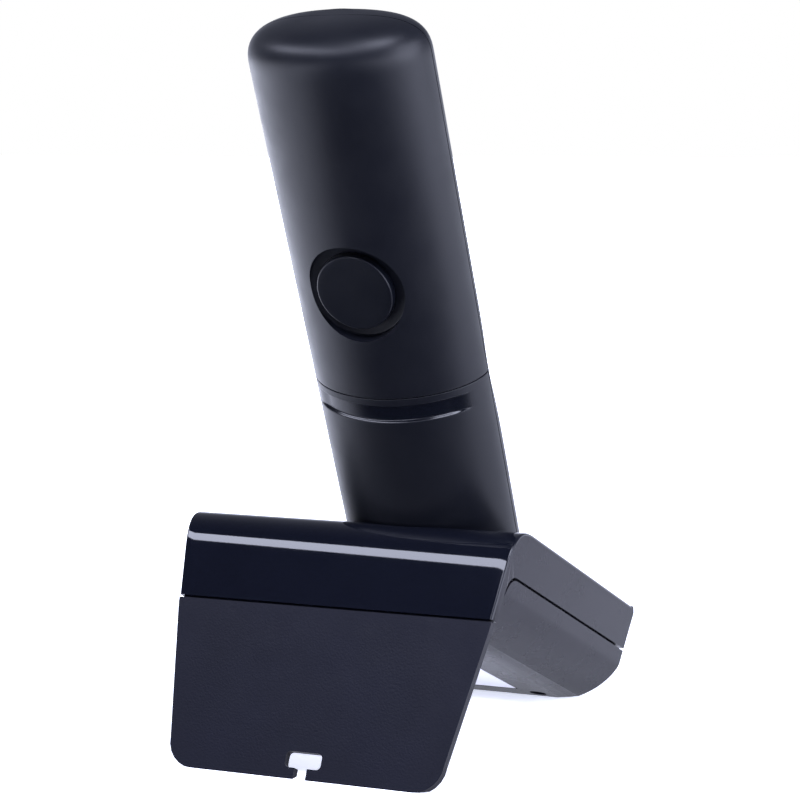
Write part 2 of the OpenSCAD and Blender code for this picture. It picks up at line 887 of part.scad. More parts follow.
// Flat-bottomed pocket behind the face for the mat, the keys' flanges and the display
module face_pocket() {
    translate([-21.3, face_y + hs_wall, -17.7])
        cube([42.6, hs_front, 129.5]);
}
boss_z = [72, 118];
module front_shell() {
    color("#1d2028")
        in_handset()
            difference() {
                front_form(0);
                difference() {
                    front_form(hs_wall);
                    for (z = boss_z)
                        for (side = [-1, 1])
                            translate([side * post_x, 0, z])
                                rotate([90, 0, 0])
                                    cylinder(r = 2, h = 40);
                    at_posts(0)
                        cylinder(r = 1.75, h = 40);
                }
                intersection() {
                    front_form(0.9);
                    difference() {
                        face_pocket();
                        for (z = boss_z)
                            for (side = [-1, 1])
                                translate([side * post_x, 0, z])
                                    rotate([90, 0, 0])
                                        cylinder(r = 2, h = 40);
                    }
                }
                face_openings();
                at_posts(0)
                    cylinder(r = 1, h = -face_y - 1.5);
            }
}

module key_body(x, z, proud) {
    to_face()
        translate([x, z, 0]) {
            translate([0, 0, -proud])
                linear_extrude(proud + hs_wall + flange_t)
                    children(0);
            translate([0, 0, hs_wall + 0.05])
                linear_extrude(flange_t)
                    children(1);
        }
}
module digit_key(i) {
    color("#2b2e38")
        in_handset()
            key_body(key_x(i), key_z(i), key_proud) {
                digit_outline(0);
                digit_outline(0.7);
            }
}
module wide_key(side, c) {
    color(c)
        in_handset()
            key_body(side * talk_x, talk_z, key_proud) {
                wide_outline(0);
                wide_outline(0.7);
            }
}
module menu_key(side) {
    color("#2b2e38")
        in_handset()
            key_body(side * menu_x, menu_z, key_proud) {
                menu_outline(0);
                menu_outline(0.7);
            }
}
module cursor_key() {
    color("#8f93a0")
        in_handset()
            to_face()
                translate([0, cursor_z, 0]) {
                    translate([0, 0, -key_proud])
                        cylinder(r = cursor_r, h = key_proud + hs_wall + flange_t);
                    translate([0, 0, hs_wall + 0.05])
                        cylinder(r = cursor_r + 0.7, h = flange_t);
                }
}

module key_mat() {
    color("#6d7078")
        in_handset()
            translate([0, mat_y, 25.5])
                rotate([-90, 0, 0])
                    linear_extrude(mat_t)
                        polygon(round_rect(41.6, 84.6, 4));
}
module handset_board() {
    color("#2e7d4f")
        in_handset()
            difference() {
                translate([-20.5, pcb_y, -25])
                    cube([41, pcb_t, 141.5]);
                for (z = boss_z)
                    for (side = [-1, 1])
                        translate([side * post_x, 0, z])
                            rotate([90, 0, 0])
                                cylinder(r = 2.3, h = 40);
                at_posts(0)
                    cylinder(r = 2.1, h = 40);
            }
}
module display_lens() {
    color([0.1, 0.12, 0.16, 0.5])
        in_handset()
            to_face()
                translate([0, lens_z, 0.05])
                    linear_extrude(lens_t - 0.05)
                        polygon(round_rect(lens_w - 0.3, lens_h - 0.3, 2.9));
}
module display_module() {
    color("#9aa88c")
        in_handset()
            translate([-15, face_y + hs_wall + 0.3, lens_z - 17.5])
                cube([30, 2.2, 33]);
}
module earpiece() {
    color("#50525a")
        in_handset()
            translate([0, face_y + hs_wall + 0.2, 124])
                rotate([-90, 0, 0])
                    cylinder(r = 6.5, h = 3);
}
module microphone() {
    color("silver")
        in_handset()
            translate([0, face_y + hs_wall + 0.2, -22.5])
                rotate([-90, 0, 0])
                    cylinder(r = 2, h = 1.5);
}

module battery_cell(side) {
    color("#3d6f4a")
        in_handset()
            translate([side * (cell_r + 0.4), cell_y, cell_z]) {
                cylinder(r = cell_r, h = cell_len - 0.8);
                translate([0, 0, side > 0 ? cell_len - 0.85 : -0.75])
                    cylinder(r = 1.9, h = 0.8);
            }
}
module battery_contacts() {
    color("silver")
        in_handset()
            for (side = [-1, 1])
                for (up = [0, 1])
                    translate([side * (cell_r + 0.4) - 4, cell_y - 4, up ? bay_high - 0.4 : bay_low])
                        cube([8, 8, 0.4]);
}
module charge_pads() {
    color("goldenrod")
        in_handset()
            for (x = pad_x)
                translate([x, pad_y, -hs_foot])
                    cylinder(r = 2.8, h = 1);
}
module aerial() {
    color("goldenrod")
        in_handset()
            translate([-12, pcb_y + pcb_t + 0.05, 108])
                cube([24, 0.4, 6]);
}
module handset_screws() {
    color("silver")
        in_handset()
            at_posts(head_y + 1.4)
                difference() {
                    union() {
                        cylinder(r = 1.9, h = 1.4);
                        cylinder(r = 0.95, h = 14);
                    }
                    translate([0, 0, -eps])
                        cross_slot(2.2, 0.5, 0.7);
                }
}

// ---- Assembly ----

module placed() {
    translate([0, origin_y, 0])
        children();
}

placed() top_fascia();
placed() upper_housing();
placed() lower_housing();
placed() cradle_cup();
placed() page_key();
placed() page_switch();
placed() base_board();
placed() line_socket();
placed() power_socket();
placed() charge_pins();
placed() rating_label();
placed() rubber_feet();
placed() base_screws();
placed() rear_shell();
placed() front_shell();
placed() battery_door();
placed() speaker_cover();
placed() loudspeaker();
placed() earpiece();
placed() microphone();
placed() display_lens();
placed() display_module();
placed() key_mat();
placed() handset_board();
placed() battery_cell(-1);  // battery_cell_left
placed() battery_cell(1);  // battery_cell_right
placed() battery_contacts();
placed() charge_pads();
placed() aerial();
placed() handset_screws();
placed() wide_key(-1, "#2f7d46");  // talk_key
placed() wide_key(1, "#9b2f33");  // end_key
placed() menu_key(-1);  // menu_key_left
placed() menu_key(1);  // menu_key_right
placed() cursor_key();
for (i = [0:11]) placed() digit_key(i);
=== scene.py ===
import math

import bmesh
import bpy
from mathutils import Matrix, Vector


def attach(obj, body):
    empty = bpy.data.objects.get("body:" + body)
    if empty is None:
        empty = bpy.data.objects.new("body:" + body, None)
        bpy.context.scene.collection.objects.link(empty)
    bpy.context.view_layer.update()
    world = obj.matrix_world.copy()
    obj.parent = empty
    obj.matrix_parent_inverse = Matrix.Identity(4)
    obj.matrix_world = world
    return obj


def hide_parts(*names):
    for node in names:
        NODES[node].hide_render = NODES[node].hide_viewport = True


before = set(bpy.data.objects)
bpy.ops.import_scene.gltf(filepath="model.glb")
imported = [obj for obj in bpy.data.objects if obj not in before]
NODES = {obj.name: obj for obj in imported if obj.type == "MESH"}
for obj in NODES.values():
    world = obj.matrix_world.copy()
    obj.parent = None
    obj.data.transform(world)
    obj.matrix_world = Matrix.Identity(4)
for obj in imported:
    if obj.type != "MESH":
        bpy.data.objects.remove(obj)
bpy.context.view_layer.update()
MM = 0.001

# ---- Sizes, in millimetres, as in the part ----
ORIGIN_Y = 22.72
RIDGE_H, SLAB_SLOPE, LEG_SLOPE = 66.4, math.radians(23.1), math.radians(63.3)
APEX = SLAB_SLOPE + LEG_SLOPE
BASE_W, DRAFT, SLAB_LEN, BAND_LEN = 100.0, 0.114, 104.1, 26.4
CROWN_R, CROWN_RUN, FASCIA_T, LIP_T, FASCIA_END = 10.0, 13.0, 2.0, 0.7, 3.0
LEAN, HS_X, HS_Y = math.radians(23.4), -14.4, -1.0
HALF_W, REAR_D, FRONT_D, HS_TOP, HS_FOOT = 25.3, 17.7, 6.6, 138.1, 31.0
DOME, FOOT_R, FRONT_R, WALL, PARTING = 11.8, 4.0, 6.8, 1.8, -19.0
FACE_Y = PARTING - FRONT_D
THUMB_Z, THUMB_W, THUMB_H = 31.3, 47.0, 5.4
DOOR_TOP, DISC_X, DISC_Z, DISC_R, RECESS_R, RECESS_D, COVER_T = 36.0, 1.1, 67.3, 10.7, 13.9, 5.2, 2.8
PAGE_X, PAGE_S, PAGE_R = 29.0, 50.0, 6.5


# ---- Points ----
def slab_pt(s, d):
    return Vector((-s * math.cos(SLAB_SLOPE) + d * math.sin(SLAB_SLOPE),
                   RIDGE_H - s * math.sin(SLAB_SLOPE) - d * math.cos(SLAB_SLOPE)))


def leg_pt(s, m):
    return Vector((s * math.cos(LEG_SLOPE) - m * math.sin(LEG_SLOPE),
                   RIDGE_H - s * math.sin(LEG_SLOPE) - m * math.cos(LEG_SLOPE)))


def inner_pt(m, d):
    return Vector(((d * math.cos(LEG_SLOPE) - m * math.cos(SLAB_SLOPE)) / math.sin(APEX),
                   RIDGE_H - (m * math.sin(SLAB_SLOPE) + d * math.sin(LEG_SLOPE)) / math.sin(APEX)))


def crown(k, n):
    half, corner = APEX / 2, inner_pt(k, k)
    run = CROWN_RUN - k * math.tan(half)
    fall = (CROWN_R - k) * (1 / math.cos(half) - 1)
    rho = 1 - fall / (run * math.sin(half))
    w = rho / (1 - rho)
    a = corner + run * Vector((-math.cos(SLAB_SLOPE), -math.sin(SLAB_SLOPE)))
    c = corner + run * Vector((math.cos(LEG_SLOPE), -math.sin(LEG_SLOPE)))
    out = []
    for i in range(n + 1):
        t = i / n
        u = 1 - t
        out.append((u * u * a + 2 * w * u * t * corner + t * t * c) / (u * u + 2 * w * u * t + t * t))
    return out


def slab_depth_of(p):
    return p[0] * math.sin(SLAB_SLOPE) - (p[1] - RIDGE_H) * math.cos(SLAB_SLOPE)


def half_w(p):
    return BASE_W / 2 - DRAFT * slab_depth_of(p)


def row(x, y, z):
    return Vector((x, y + ORIGIN_Y, z)) * MM


def hs_row(x, y, z):
    c, s = math.cos(LEAN), math.sin(LEAN)
    return row(HS_X + x, HS_Y + y * c + z * s, RIDGE_H - y * s + z * c)


HS_MATRIX = Matrix.Translation(row(HS_X, HS_Y, RIDGE_H)) @ Matrix.Rotation(-LEAN, 4, "X")
DISC_MATRIX = HS_MATRIX @ Matrix.Translation((DISC_X * MM, 0, DISC_Z * MM))
SLAB_MATRIX = Matrix.Translation(row(0, 0, RIDGE_H)) @ Matrix.Rotation(SLAB_SLOPE, 4, "X")


# ---- Mesh helpers ----
AXIS_R = 0.01
BEVEL_ANGLE = math.radians(40)
FLAT_ANGLE = math.radians(0.2)


def to_object(name, verts, faces, weld=2e-7):
    mesh = bpy.data.meshes.new(name)
    mesh.from_pydata([tuple(v) for v in verts], [], faces)
    bm = bmesh.new()
    bm.from_mesh(mesh)
    bmesh.ops.remove_doubles(bm, verts=bm.verts, dist=weld)
    bmesh.ops.dissolve_degenerate(bm, edges=bm.edges, dist=1e-7)
    bmesh.ops.recalc_face_normals(bm, faces=bm.faces)
    bm.to_mesh(mesh)
    bm.free()
    obj = bpy.data.objects.new(name, mesh)
    bpy.context.scene.collection.objects.link(obj)
    return obj


def smooth(obj, angle):
    obj.data.shade_smooth()
    obj.data.set_sharp_from_angle(angle=math.radians(angle))


def bake(obj):
    """Replaces the object's mesh by the one its modifiers give."""
    dg = bpy.context.evaluated_depsgraph_get()
    dg.update()
    new = bpy.data.meshes.new_from_object(obj.evaluated_get(dg))
    obj.modifiers.clear()
    old = obj.data
    obj.data = new
    new.name = obj.name
    bpy.data.meshes.remove(old)


def combine(obj, tool, how="DIFFERENCE"):
    """Boolean of the object with a tool, which is used up."""
    mod = obj.modifiers.new("cut", "BOOLEAN")
    mod.operation, mod.object, mod.solver = how, tool, "MANIFOLD"
    bake(obj)
    bpy.data.objects.remove(tool)


def end_faces(start, n, kind):
    if kind == "pole":
        return []
    if kind == "ring":
        return [tuple(range(start, start + n))]
    half = n // 2
    return [tuple(range(start, start + half)), tuple(range(start + half, start + n)),
            (start, start + half - 1, start + half, start + n - 1)]


def loops_solid(name, loops, low="ring", high="ring"):
    """Closed solid through loops of equal length, with faces at each end."""
    n, verts, faces = len(loops[0]), [], []
    for lp in loops:
        verts += lp
    for j in range(len(loops) - 1):
        for i in range(n):
            a, b = j * n + i, j * n + (i + 1) % n
            faces.append((a, b, b + n, a + n))
    faces += end_faces(0, n, low) + end_faces((len(loops) - 1) * n, n, high)
    return to_object(name, verts, faces)


def prism(name, outline, low, high, matrix):
    """Outline of (x, z) points in millimetres, extruded along the matrix's y from low to high."""
    loops = [[matrix @ (Vector((x, y, z)) * MM) for x, z in outline] for y in (low, high)]
    return loops_solid(name, loops)


def revolve(name, profile, matrix, steps=96):
    """Closed profile of (r, y) points in millimetres, turned about the matrix's y axis."""
    verts, faces, n = [], [], len(profile)
    for j in range(steps):
        a = 2 * math.pi * j / steps
        verts += [matrix @ (Vector((r * math.cos(a), y, r * math.sin(a))) * MM) for r, y in profile]
    for j in range(steps):
        for i in range(n):
            a, b = j * n + i, j * n + (i + 1) % n
            c, d = ((j + 1) % steps) * n + (i + 1) % n, ((j + 1) % steps) * n + i
            faces.append((a, b, c, d))
    return to_object(name, verts, faces)


def bore(name, radius, low, high, matrix, steps):
    """Cylinder along the matrix's y axis from low to high, as a tool."""
    return revolve(name, [(AXIS_R, low), (radius, low), (radius, high), (AXIS_R, high)], matrix, steps)


def round_rect(w, h, r, n, cx, cz):
    """Outline of a rectangle with round corners of n steps each, centred at (cx, cz)."""
    pts = []
    for q in range(4):
        for i in range(n + 1):
            a = math.radians(90 * q + 90 * i / n)
            sx, sz = (1 if q in (0, 3) else -1), (1 if q < 2 else -1)
            pts.append((cx + sx * (w / 2 - r) + r * math.cos(a), cz + sz * (h / 2 - r) + r * math.sin(a)))
    return pts


def bevelled(obj, width, segments):
    """Rounds edges sharper than BEVEL_ANGLE by modifier, and shades the flat faces flat."""
    mod = obj.modifiers.new("edge", "BEVEL")
    mod.width, mod.segments, mod.limit_method = width * MM, segments, "ANGLE"
    mod.angle_limit, mod.use_clamp_overlap = BEVEL_ANGLE, True
    mod.miter_outer = "MITER_ARC"
    weights = obj.modifiers.new("normals", "WEIGHTED_NORMAL")
    weights.keep_sharp, weights.weight = True, 60
    obj.data.shade_smooth()


def refined(node, width, segments=3):
    """Copy of a CAD node with clean flat faces and rounded edges."""
    obj = bpy.data.objects.new("fine_" + node, NODES[node].data.copy())
    bpy.context.scene.collection.objects.link(obj)
    obj.data.materials.clear()
    bm = bmesh.new()
    bm.from_mesh(obj.data)
    bmesh.ops.remove_doubles(bm, verts=bm.verts, dist=2e-6)
    bmesh.ops.dissolve_limit(bm, angle_limit=FLAT_ANGLE, verts=bm.verts, edges=bm.edges)
    bm.to_mesh(obj.data)
    bm.free()
    for name in ("custom_normal", "sharp_edge", "sharp_face"):
        layer = obj.data.attributes.get(name)
        if layer:
            obj.data.attributes.remove(layer)
    bevelled(obj, width, segments)
    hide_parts(node)
    return obj


# ---- Shape of the handset: z runs up its axis, y towards its back, k is the depth under the surface ----
PARTING_R, PARTING_SCALE = 0.16, 8.0
SEAM_GAP, SEAM_R = 0.12, 0.18


def edge_inset(dist, r):
    return 0.0 if dist >= r else r - math.sqrt(max(0.0, r * r - (r - dist) ** 2))


def dome_u(z, k):
    u = (z - (HS_TOP - DOME)) / (DOME - k)
    return 1.0 if u > 1 - 1e-9 else max(0.0, u)


def foot_cut(z, k):
    r = max(FOOT_R - k, 0.6)
    v = min(1.0, max(0.0, (r + k - HS_FOOT - z) / r))
    return r * (1 - math.sqrt(1 - v * v))


def waist(z):
    return 1.2 * math.exp(-(((z - 36) / 9) ** 2)) - 0.35 / (1 + math.exp((z - 22) / 3))


def hs_w(z, k):
    return (HALF_W - k) * max(0.0, 1 - dome_u(z, k) ** 3) ** (1 / 3) - foot_cut(z, k)


def rear_d(z, k):
    return (REAR_D - k) * max(0.0, 1 - dome_u(z, k) ** 2.9) ** (1 / 2.9) - foot_cut(z, k)


def front_d(z, k):
    return FRONT_D - k - 0.6 * foot_cut(z, k) - 2.2 * dome_u(z, k) ** 6


def rear_xy(a, z, k):
    c, s = math.cos(a), max(0.0, math.sin(a))
    return math.copysign(hs_w(z, k) * abs(c) ** (2 / 1.9), c), rear_d(z, k) * s ** (2 / 1.9) + PARTING


def front_xy(a, z, k):
    b = a - math.pi
    side, q = (-1, b) if b < math.pi / 2 else (1, math.pi - b)
    r = min(FRONT_R - k, 0.8 * hs_w(z, k))
    x = hs_w(z, k) - r * (1 - math.cos(q)) - waist(z) * math.sin(q)
    return side * x, PARTING - front_d(z, k) * math.sin(q)


def dome_levels(k, n=44):
    turn = math.radians(89.6)
    rise = [math.sin(turn * i / n) ** (2 / 3) for i in range(1, n + 1)] + [1.0]
    return [HS_TOP - DOME + (DOME - k) * u for u in rise]


def foot_levels(k, n=8):
    r = max(FOOT_R - k, 0.6)
    return [k - HS_FOOT + r * (1 - math.cos(math.radians(90 * i / n))) for i in range(n + 1)]


def span(a, b, step):
    n = max(1, round(abs(b - a) / step))
    return [a + (b - a) * i / n for i in range(n + 1)]


def arc(n, lo, hi):
    return [lo + (hi - lo) * i / n for i in range(n + 1)]


def outline_normal(x, z):
    """Outward direction of the handset's outline, seen from behind."""
    n = Vector(((abs(x) / HALF_W) ** 2 / HALF_W + 1e-12, dome_u(z, 0) ** 2 / DOME)).normalized()
    return math.copysign(n[0], x), n[1]


def parting_inset(a):
    """Small rounding of a shell's edge at the parting plane, by the angle from it."""
    away = min(abs(math.sin(a)), 1.0) ** 0.91 * PARTING_SCALE
    return edge_inset(away, PARTING_R)


def shell_half(name, xy, outer_z, inner_z, angles, k_in, shift, seam=None, dip=None, low="ring", high="ring"):
    """Half shell between an outer and an inner surface, open along the parting plane.
    xy is the section, seam(z) its inset near an end, dip(x, y, z) a local hollow, shift the gap at
    the parting. An end is a flat ring, a closed floor, or a pole where all points meet."""
    loops = []
    for zo, zi in zip(outer_z, inner_z):
        lp = []
        for a in angles:
            x, y = xy(a, zo, seam(zo) if seam else 0.0)
            if dip:
                x, y = dip(x, y, zo)
            y += shift * (1 - abs(math.sin(a))) ** 6 * (hs_w(zo, 0) / HALF_W) ** 0.5
            k, (nx, nz) = parting_inset(a), outline_normal(x, zo)
            lp.append(hs_row(x - k * nx, y, zo - k * nz))
        for a in reversed(angles):
            x, y = xy(a, zi, k_in)
            lp.append(hs_row(x, y, zi))
        loops.append(lp)
    return loops_solid(name, loops, low, high)


SHELL_SHIFT = 0.1
ABOVE_SHELL = 3
NEAR_PARTING = (0, 0.15, 0.4, 0.8, 1.5)
REAR_ANGLES = sorted({*(math.radians(v) for v in NEAR_PARTING),
                      *arc(150, math.radians(2.4), math.radians(177.6)),
                      *(math.radians(180 - v) for v in NEAR_PARTING)})


def seam_levels(z, up):
    return [z + up * d for d in (0, 0.02, 0.05, 0.1, SEAM_R)]


# Rear shell: upper part with the round recess, lower tray under the battery door
z_low = seam_levels(DOOR_TOP + SEAM_GAP, 1) + span(DOOR_TOP + 0.8, HS_TOP - DOME, 1.0)


def rear_edge(z):
    return edge_inset(z - DOOR_TOP - SEAM_GAP, SEAM_R)


rear_shell = shell_half("rear_cover", rear_xy, z_low + dome_levels(0), z_low + dome_levels(WALL), REAR_ANGLES,
                        WALL, SHELL_SHIFT, rear_edge, high="pole")


def rear_form(name, k, levels):
    """Solid between the parting plane and the rear surface at depth k."""
    loops = []
    for z in levels:
        section = [rear_xy(a, z, k) for a in REAR_ANGLES[::2]]
        loops.append([hs_row(x, max(y, PARTING), z) for x, y in section])
    return loops_solid(name, loops)


PAD_WALL, PAD_REACH = 1.6, 18
pad = rear_form("pad", 0.5, span(DISC_Z - PAD_REACH, DISC_Z + PAD_REACH, 2))
limit = bore("pad_limit", RECESS_R + PAD_WALL, -RECESS_D - PAD_WALL, ABOVE_SHELL, DISC_MATRIX, 96)
combine(pad, limit, "INTERSECT")
combine(rear_shell, pad, "UNION")
BAY_HALF_W, BAY_LOW, BAY_HIGH, BAY_FLOOR = 12, -23, 31, -15.6
tray = rear_form("tray", WALL, foot_levels(WALL, 4) + span(-26, DOOR_TOP + 3, 3))
bay = [(-BAY_HALF_W, BAY_LOW), (BAY_HALF_W, BAY_LOW), (BAY_HALF_W, BAY_HIGH), (-BAY_HALF_W, BAY_HIGH)]
combine(tray, prism("bay", bay, BAY_FLOOR, 12, HS_MATRIX))
combine(rear_shell, tray, "UNION")
recess = [(AXIS_R, -RECESS_D), (RECESS_R - 0.75, -RECESS_D), (RECESS_R - 0.4, -RECESS_D + 0.1),
          (RECESS_R - 0.15, -RECESS_D + 0.4), (RECESS_R, ABOVE_SHELL), (AXIS_R, ABOVE_SHELL)]
combine(rear_shell, revolve("recess", recess, DISC_MATRIX, 144))
SOUND_HOLES, SOUND_RING_R, SOUND_R = 4, 7.6, 1.2
for i in range(SOUND_HOLES):
    a = math.radians(45 + 360 * i / SOUND_HOLES)
    place = DISC_MATRIX @ Matrix.Translation(Vector((math.cos(a), 0, math.sin(a))) * SOUND_RING_R * MM)
    combine(rear_shell, bore("sound_hole", SOUND_R, -9, 1, place, 24))
smooth(rear_shell, 28)
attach(rear_shell, "handset")
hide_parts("rear_shell")


# Battery door with its thumb recess
THUMB_DEPTH, THUMB_UPPER, THUMB_LOWER, THUMB_END = 0.9, 0.5, 0.8, 5.5
THUMB_GLOSS_FROM = 0.12


def eased(t):
    t = min(1.0, max(0.0, t))
    return t * t * (3 - 2 * t)


def thumb_depth(x, z):
    rise = z - THUMB_Z
    across = (THUMB_H / 2 - abs(rise)) / (THUMB_UPPER if rise > 0 else THUMB_LOWER)
    return THUMB_DEPTH * eased(across) * eased((THUMB_W / 2 - abs(x)) / THUMB_END)


def thumb_dip(x, y, z):
    """Moves a point of the door inwards, square to its section, in the thumb recess."""
    depth = thumb_depth(x, z)
    if depth:
        n = Vector(((abs(x) / HALF_W) ** 0.9 / HALF_W, (max(0.0, y - PARTING) / REAR_D) ** 0.9 / REAR_D))
        n.normalize()
        x, y = x - math.copysign(n[0], x) * depth, y - n[1] * depth
    return x, y


DOOR_LOW, DOOR_WALL = -HS_FOOT + 2.5, 1.5
z_door = ([DOOR_LOW + d for d in (0, 0.05, 0.12, 0.25)] + span(DOOR_LOW + 0.8, 27, 1.5) + span(27.3, 35, 0.15)
          + [35.4] + seam_levels(DOOR_TOP - SEAM_GAP, -1)[::-1])


def door_edge(z):
    return max(edge_inset(DOOR_TOP - SEAM_GAP - z, SEAM_R), edge_inset(z - DOOR_LOW, 0.25))


battery_door = shell_half("door_cover", rear_xy, z_door, z_door, REAR_ANGLES, DOOR_WALL, SHELL_SHIFT,
                          door_edge, thumb_dip)
smooth(battery_door, 50)
to_handset = HS_MATRIX.inverted()
centres = [(to_handset @ p.center) / MM for p in battery_door.data.polygons]
IN_THUMB = [thumb_depth(c[0], c[2]) > THUMB_GLOSS_FROM for c in centres]
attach(battery_door, "battery_door")
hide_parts("battery_door")

# Round cover in the recess
FLAT, RIM_R, SEAT = COVER_T - RECESS_D, 0.5, -RECESS_D - 0.02
under = [(AXIS_R, SEAT), (DISC_R - 0.4, SEAT), (DISC_R, -RECESS_D + 0.4)]
quarter_turn = arc(8, 0, math.pi / 2)
rim = [(DISC_R - RIM_R + RIM_R * math.cos(t), FLAT - RIM_R + RIM_R * math.sin(t)) for t in quarter_turn]
face = [(r, FLAT) for r in (8.5, 5.0, 2.0, AXIS_R)]
cover = revolve("round_cover", under + rim + face, DISC_MATRIX, 144)
smooth(cover, 35)
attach(cover, "handset")
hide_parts("speaker_cover")

# Front shell with the openings of its face
QUARTER = [*(math.radians(v) for v in (0, 0.4, 1, 2)), *arc(22, math.radians(4), math.radians(89.99))]
FRONT_ANGLES = [math.pi + v for v in QUARTER] + [2 * math.pi - v for v in reversed(QUARTER)]
z_front = foot_levels(0) + span(-26, HS_TOP - DOME, 1.5) + dome_levels(0, 24)
z_front_in = foot_levels(WALL) + span(-26, HS_TOP - DOME, 1.5) + dome_levels(WALL, 24)
front_shell = shell_half("front_cover", front_xy, z_front, z_front_in, FRONT_ANGLES, WALL, -SHELL_SHIFT,
                         low="floor", high="pole")
THROUGH = 5


def open_face(outline, depth=THROUGH):
    combine(front_shell, prism("opening", outline, FACE_Y - 2, FACE_Y + depth, HS_MATRIX))


# Each key is x, z, width, height and corner radius
KEY_PLAY = 0.25
KEYS = [((i % 3 - 1) * 13.2, 14 - (i // 3) * 9.2, 11, 6.2, 2.6) for i in range(12)]
KEYS += [(s * 13.8, 26.5, 12.4, 6.4, 3.1) for s in (-1, 1)]
KEYS += [(s * 13.5, 62.5, 11, 5, 2.4) for s in (-1, 1)]
for x, z, w, h, r in KEYS:
    open_face(round_rect(w + 2 * KEY_PLAY, h + 2 * KEY_PLAY, r + KEY_PLAY, 6, x, z))
CURSOR_Z, CURSOR_R, CURSOR_STEPS = 44.5, 9.0 + KEY_PLAY, 64
turns = [2 * math.pi * i / CURSOR_STEPS for i in range(CURSOR_STEPS)]
open_face([(CURSOR_R * math.cos(t), CURSOR_Z + CURSOR_R * math.sin(t)) for t in turns])
WINDOW_Z, WINDOW_W, WINDOW_H, WINDOW_LEDGE, WINDOW_T = 92, 36, 42, 1.5, 1.2
open_face(round_rect(WINDOW_W, WINDOW_H, 3, 8, 0, WINDOW_Z), WINDOW_T)
open_face(round_rect(WINDOW_W - 2 * WINDOW_LEDGE, WINDOW_H - 2 * WINDOW_LEDGE, 2, 6, 0, WINDOW_Z))
EARPIECE_Z, MICROPHONE_Z = 124, -22.5
for x in (-6, -3, 0, 3, 6):
    open_face(round_rect(1.4, 4 - abs(x) * 0.2, 0.65, 4, x, EARPIECE_Z))
open_face(round_rect(1.6, 1.6, 0.79, 4, 0, MICROPHONE_Z))
smooth(front_shell, 30)
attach(front_shell, "handset")
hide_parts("front_shell")


# ---- Base: glossy fascia over the ridge ----
def fascia_path(k):
    front, rear = slab_pt(SLAB_LEN - FASCIA_END, k), leg_pt(BAND_LEN, k)
    bend = crown(k, 72)
    pts = [front.lerp(bend[0], t) for t in (0, 0.002, 0.006, 0.3, 0.6, 0.9, 0.985, 0.997)] + bend
    pts += [bend[-1].lerp(rear, t) for t in (0.02, 0.08, 0.3, 0.6, 0.97, 0.985, 0.995, 1)]
    return pts


EDGE_R, LIP_W = 0.68, 0.9
STEPS = arc(7, 0, math.pi / 2)


def fascia_column(side, reach, depth):
    """Run of points at a distance in from one side edge, under the surface by the depth."""
    return [row(side * (half_w(p) - reach), p[0], p[1]) for p in fascia_path(depth)]


columns = []
for side in (-1, 1):
    for phi in (STEPS[::-1] if side < 0 else STEPS):
        columns.append(fascia_column(side, EDGE_R * (1 - math.sin(phi)), EDGE_R * (1 - math.cos(phi))))
    if side < 0:
        for f in (-0.96, -0.5, 0, 0.5, 0.96):
            columns.append([row(f * (half_w(p) - EDGE_R), p[0], p[1]) for p in fascia_path(0)])
columns += [fascia_column(1, 0, LIP_T), fascia_column(1, LIP_W, LIP_T), fascia_column(1, LIP_W, FASCIA_T)]
columns += [fascia_column(-1, LIP_W, FASCIA_T), fascia_column(-1, LIP_W, LIP_T), fascia_column(-1, 0, LIP_T)]
fascia = loops_solid("ridge_cover", [list(lp) for lp in zip(*columns)])


WELL_PLAY, WELL_REACH, WELL_STEPS = 0.6, 60, 48
PAGE_PLAY, PAGE_REACH = 0.3, 6
Y_TO_Z = Matrix.Rotation(math.pi / 2, 4, "X")
foot_z = FOOT_R - HS_FOOT
well = [rear_xy(a, foot_z, -WELL_PLAY) for a in arc(WELL_STEPS, 0, math.pi)]
well += [front_xy(a, foot_z, -WELL_PLAY) for a in arc(WELL_STEPS, math.pi, 2 * math.pi)][1:-1]
combine(fascia, loops_solid("well", [[hs_row(x, y, z) for x, y in well] for z in (-WELL_REACH, WELL_REACH)]))
page_place = SLAB_MATRIX @ Matrix.Translation(Vector((PAGE_X, -PAGE_S, 0)) * MM) @ Y_TO_Z
combine(fascia, bore("page_hole", PAGE_R + PAGE_PLAY, -PAGE_REACH, PAGE_REACH, page_place, 72))
smooth(fascia, 30)
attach(fascia, "base")
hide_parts("top_fascia")

# Copies of CAD nodes with rounded edges: bevel width in millimetres, and the body
FINE = {
    "upper_housing": (0.22, "base"), "lower_housing": (0.3, "base"), "cradle_cup": (0.2, "base"),
    "page_key": (0.4, "page_key"), "rubber_feet": (0.2, "base"), "line_socket": (0.2, "base"),
    "power_socket": (0.2, "base"), "base_screws": (0.12, "base"), "display_lens": (0.15, "handset"),
}
for node, (width, body) in FINE.items():
    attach(refined(node, width), body)
KEY_BEVEL = 0.5
DIGITS = ["1", "2", "3", "4", "5", "6", "7", "8", "9", "*", "0", "#"]
DIGIT_NODES = ["key_" + {"*": "star", "#": "hash"}.get(label, label) for label in DIGITS]
KEY_NODES = ["talk_key", "end_key", "menu_key_left", "menu_key_right", "cursor_key", *DIGIT_NODES]
for node in KEY_NODES:
    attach(refined(node, KEY_BEVEL, 4), node)


# ---- Materials ----
CLOUD_SCALE, GLOSS_SCALE = 45, 110
NOISE_LOW, NOISE_HIGH = 0.3, 0.7
GRAIN_HEIGHT = 0.05 * MM


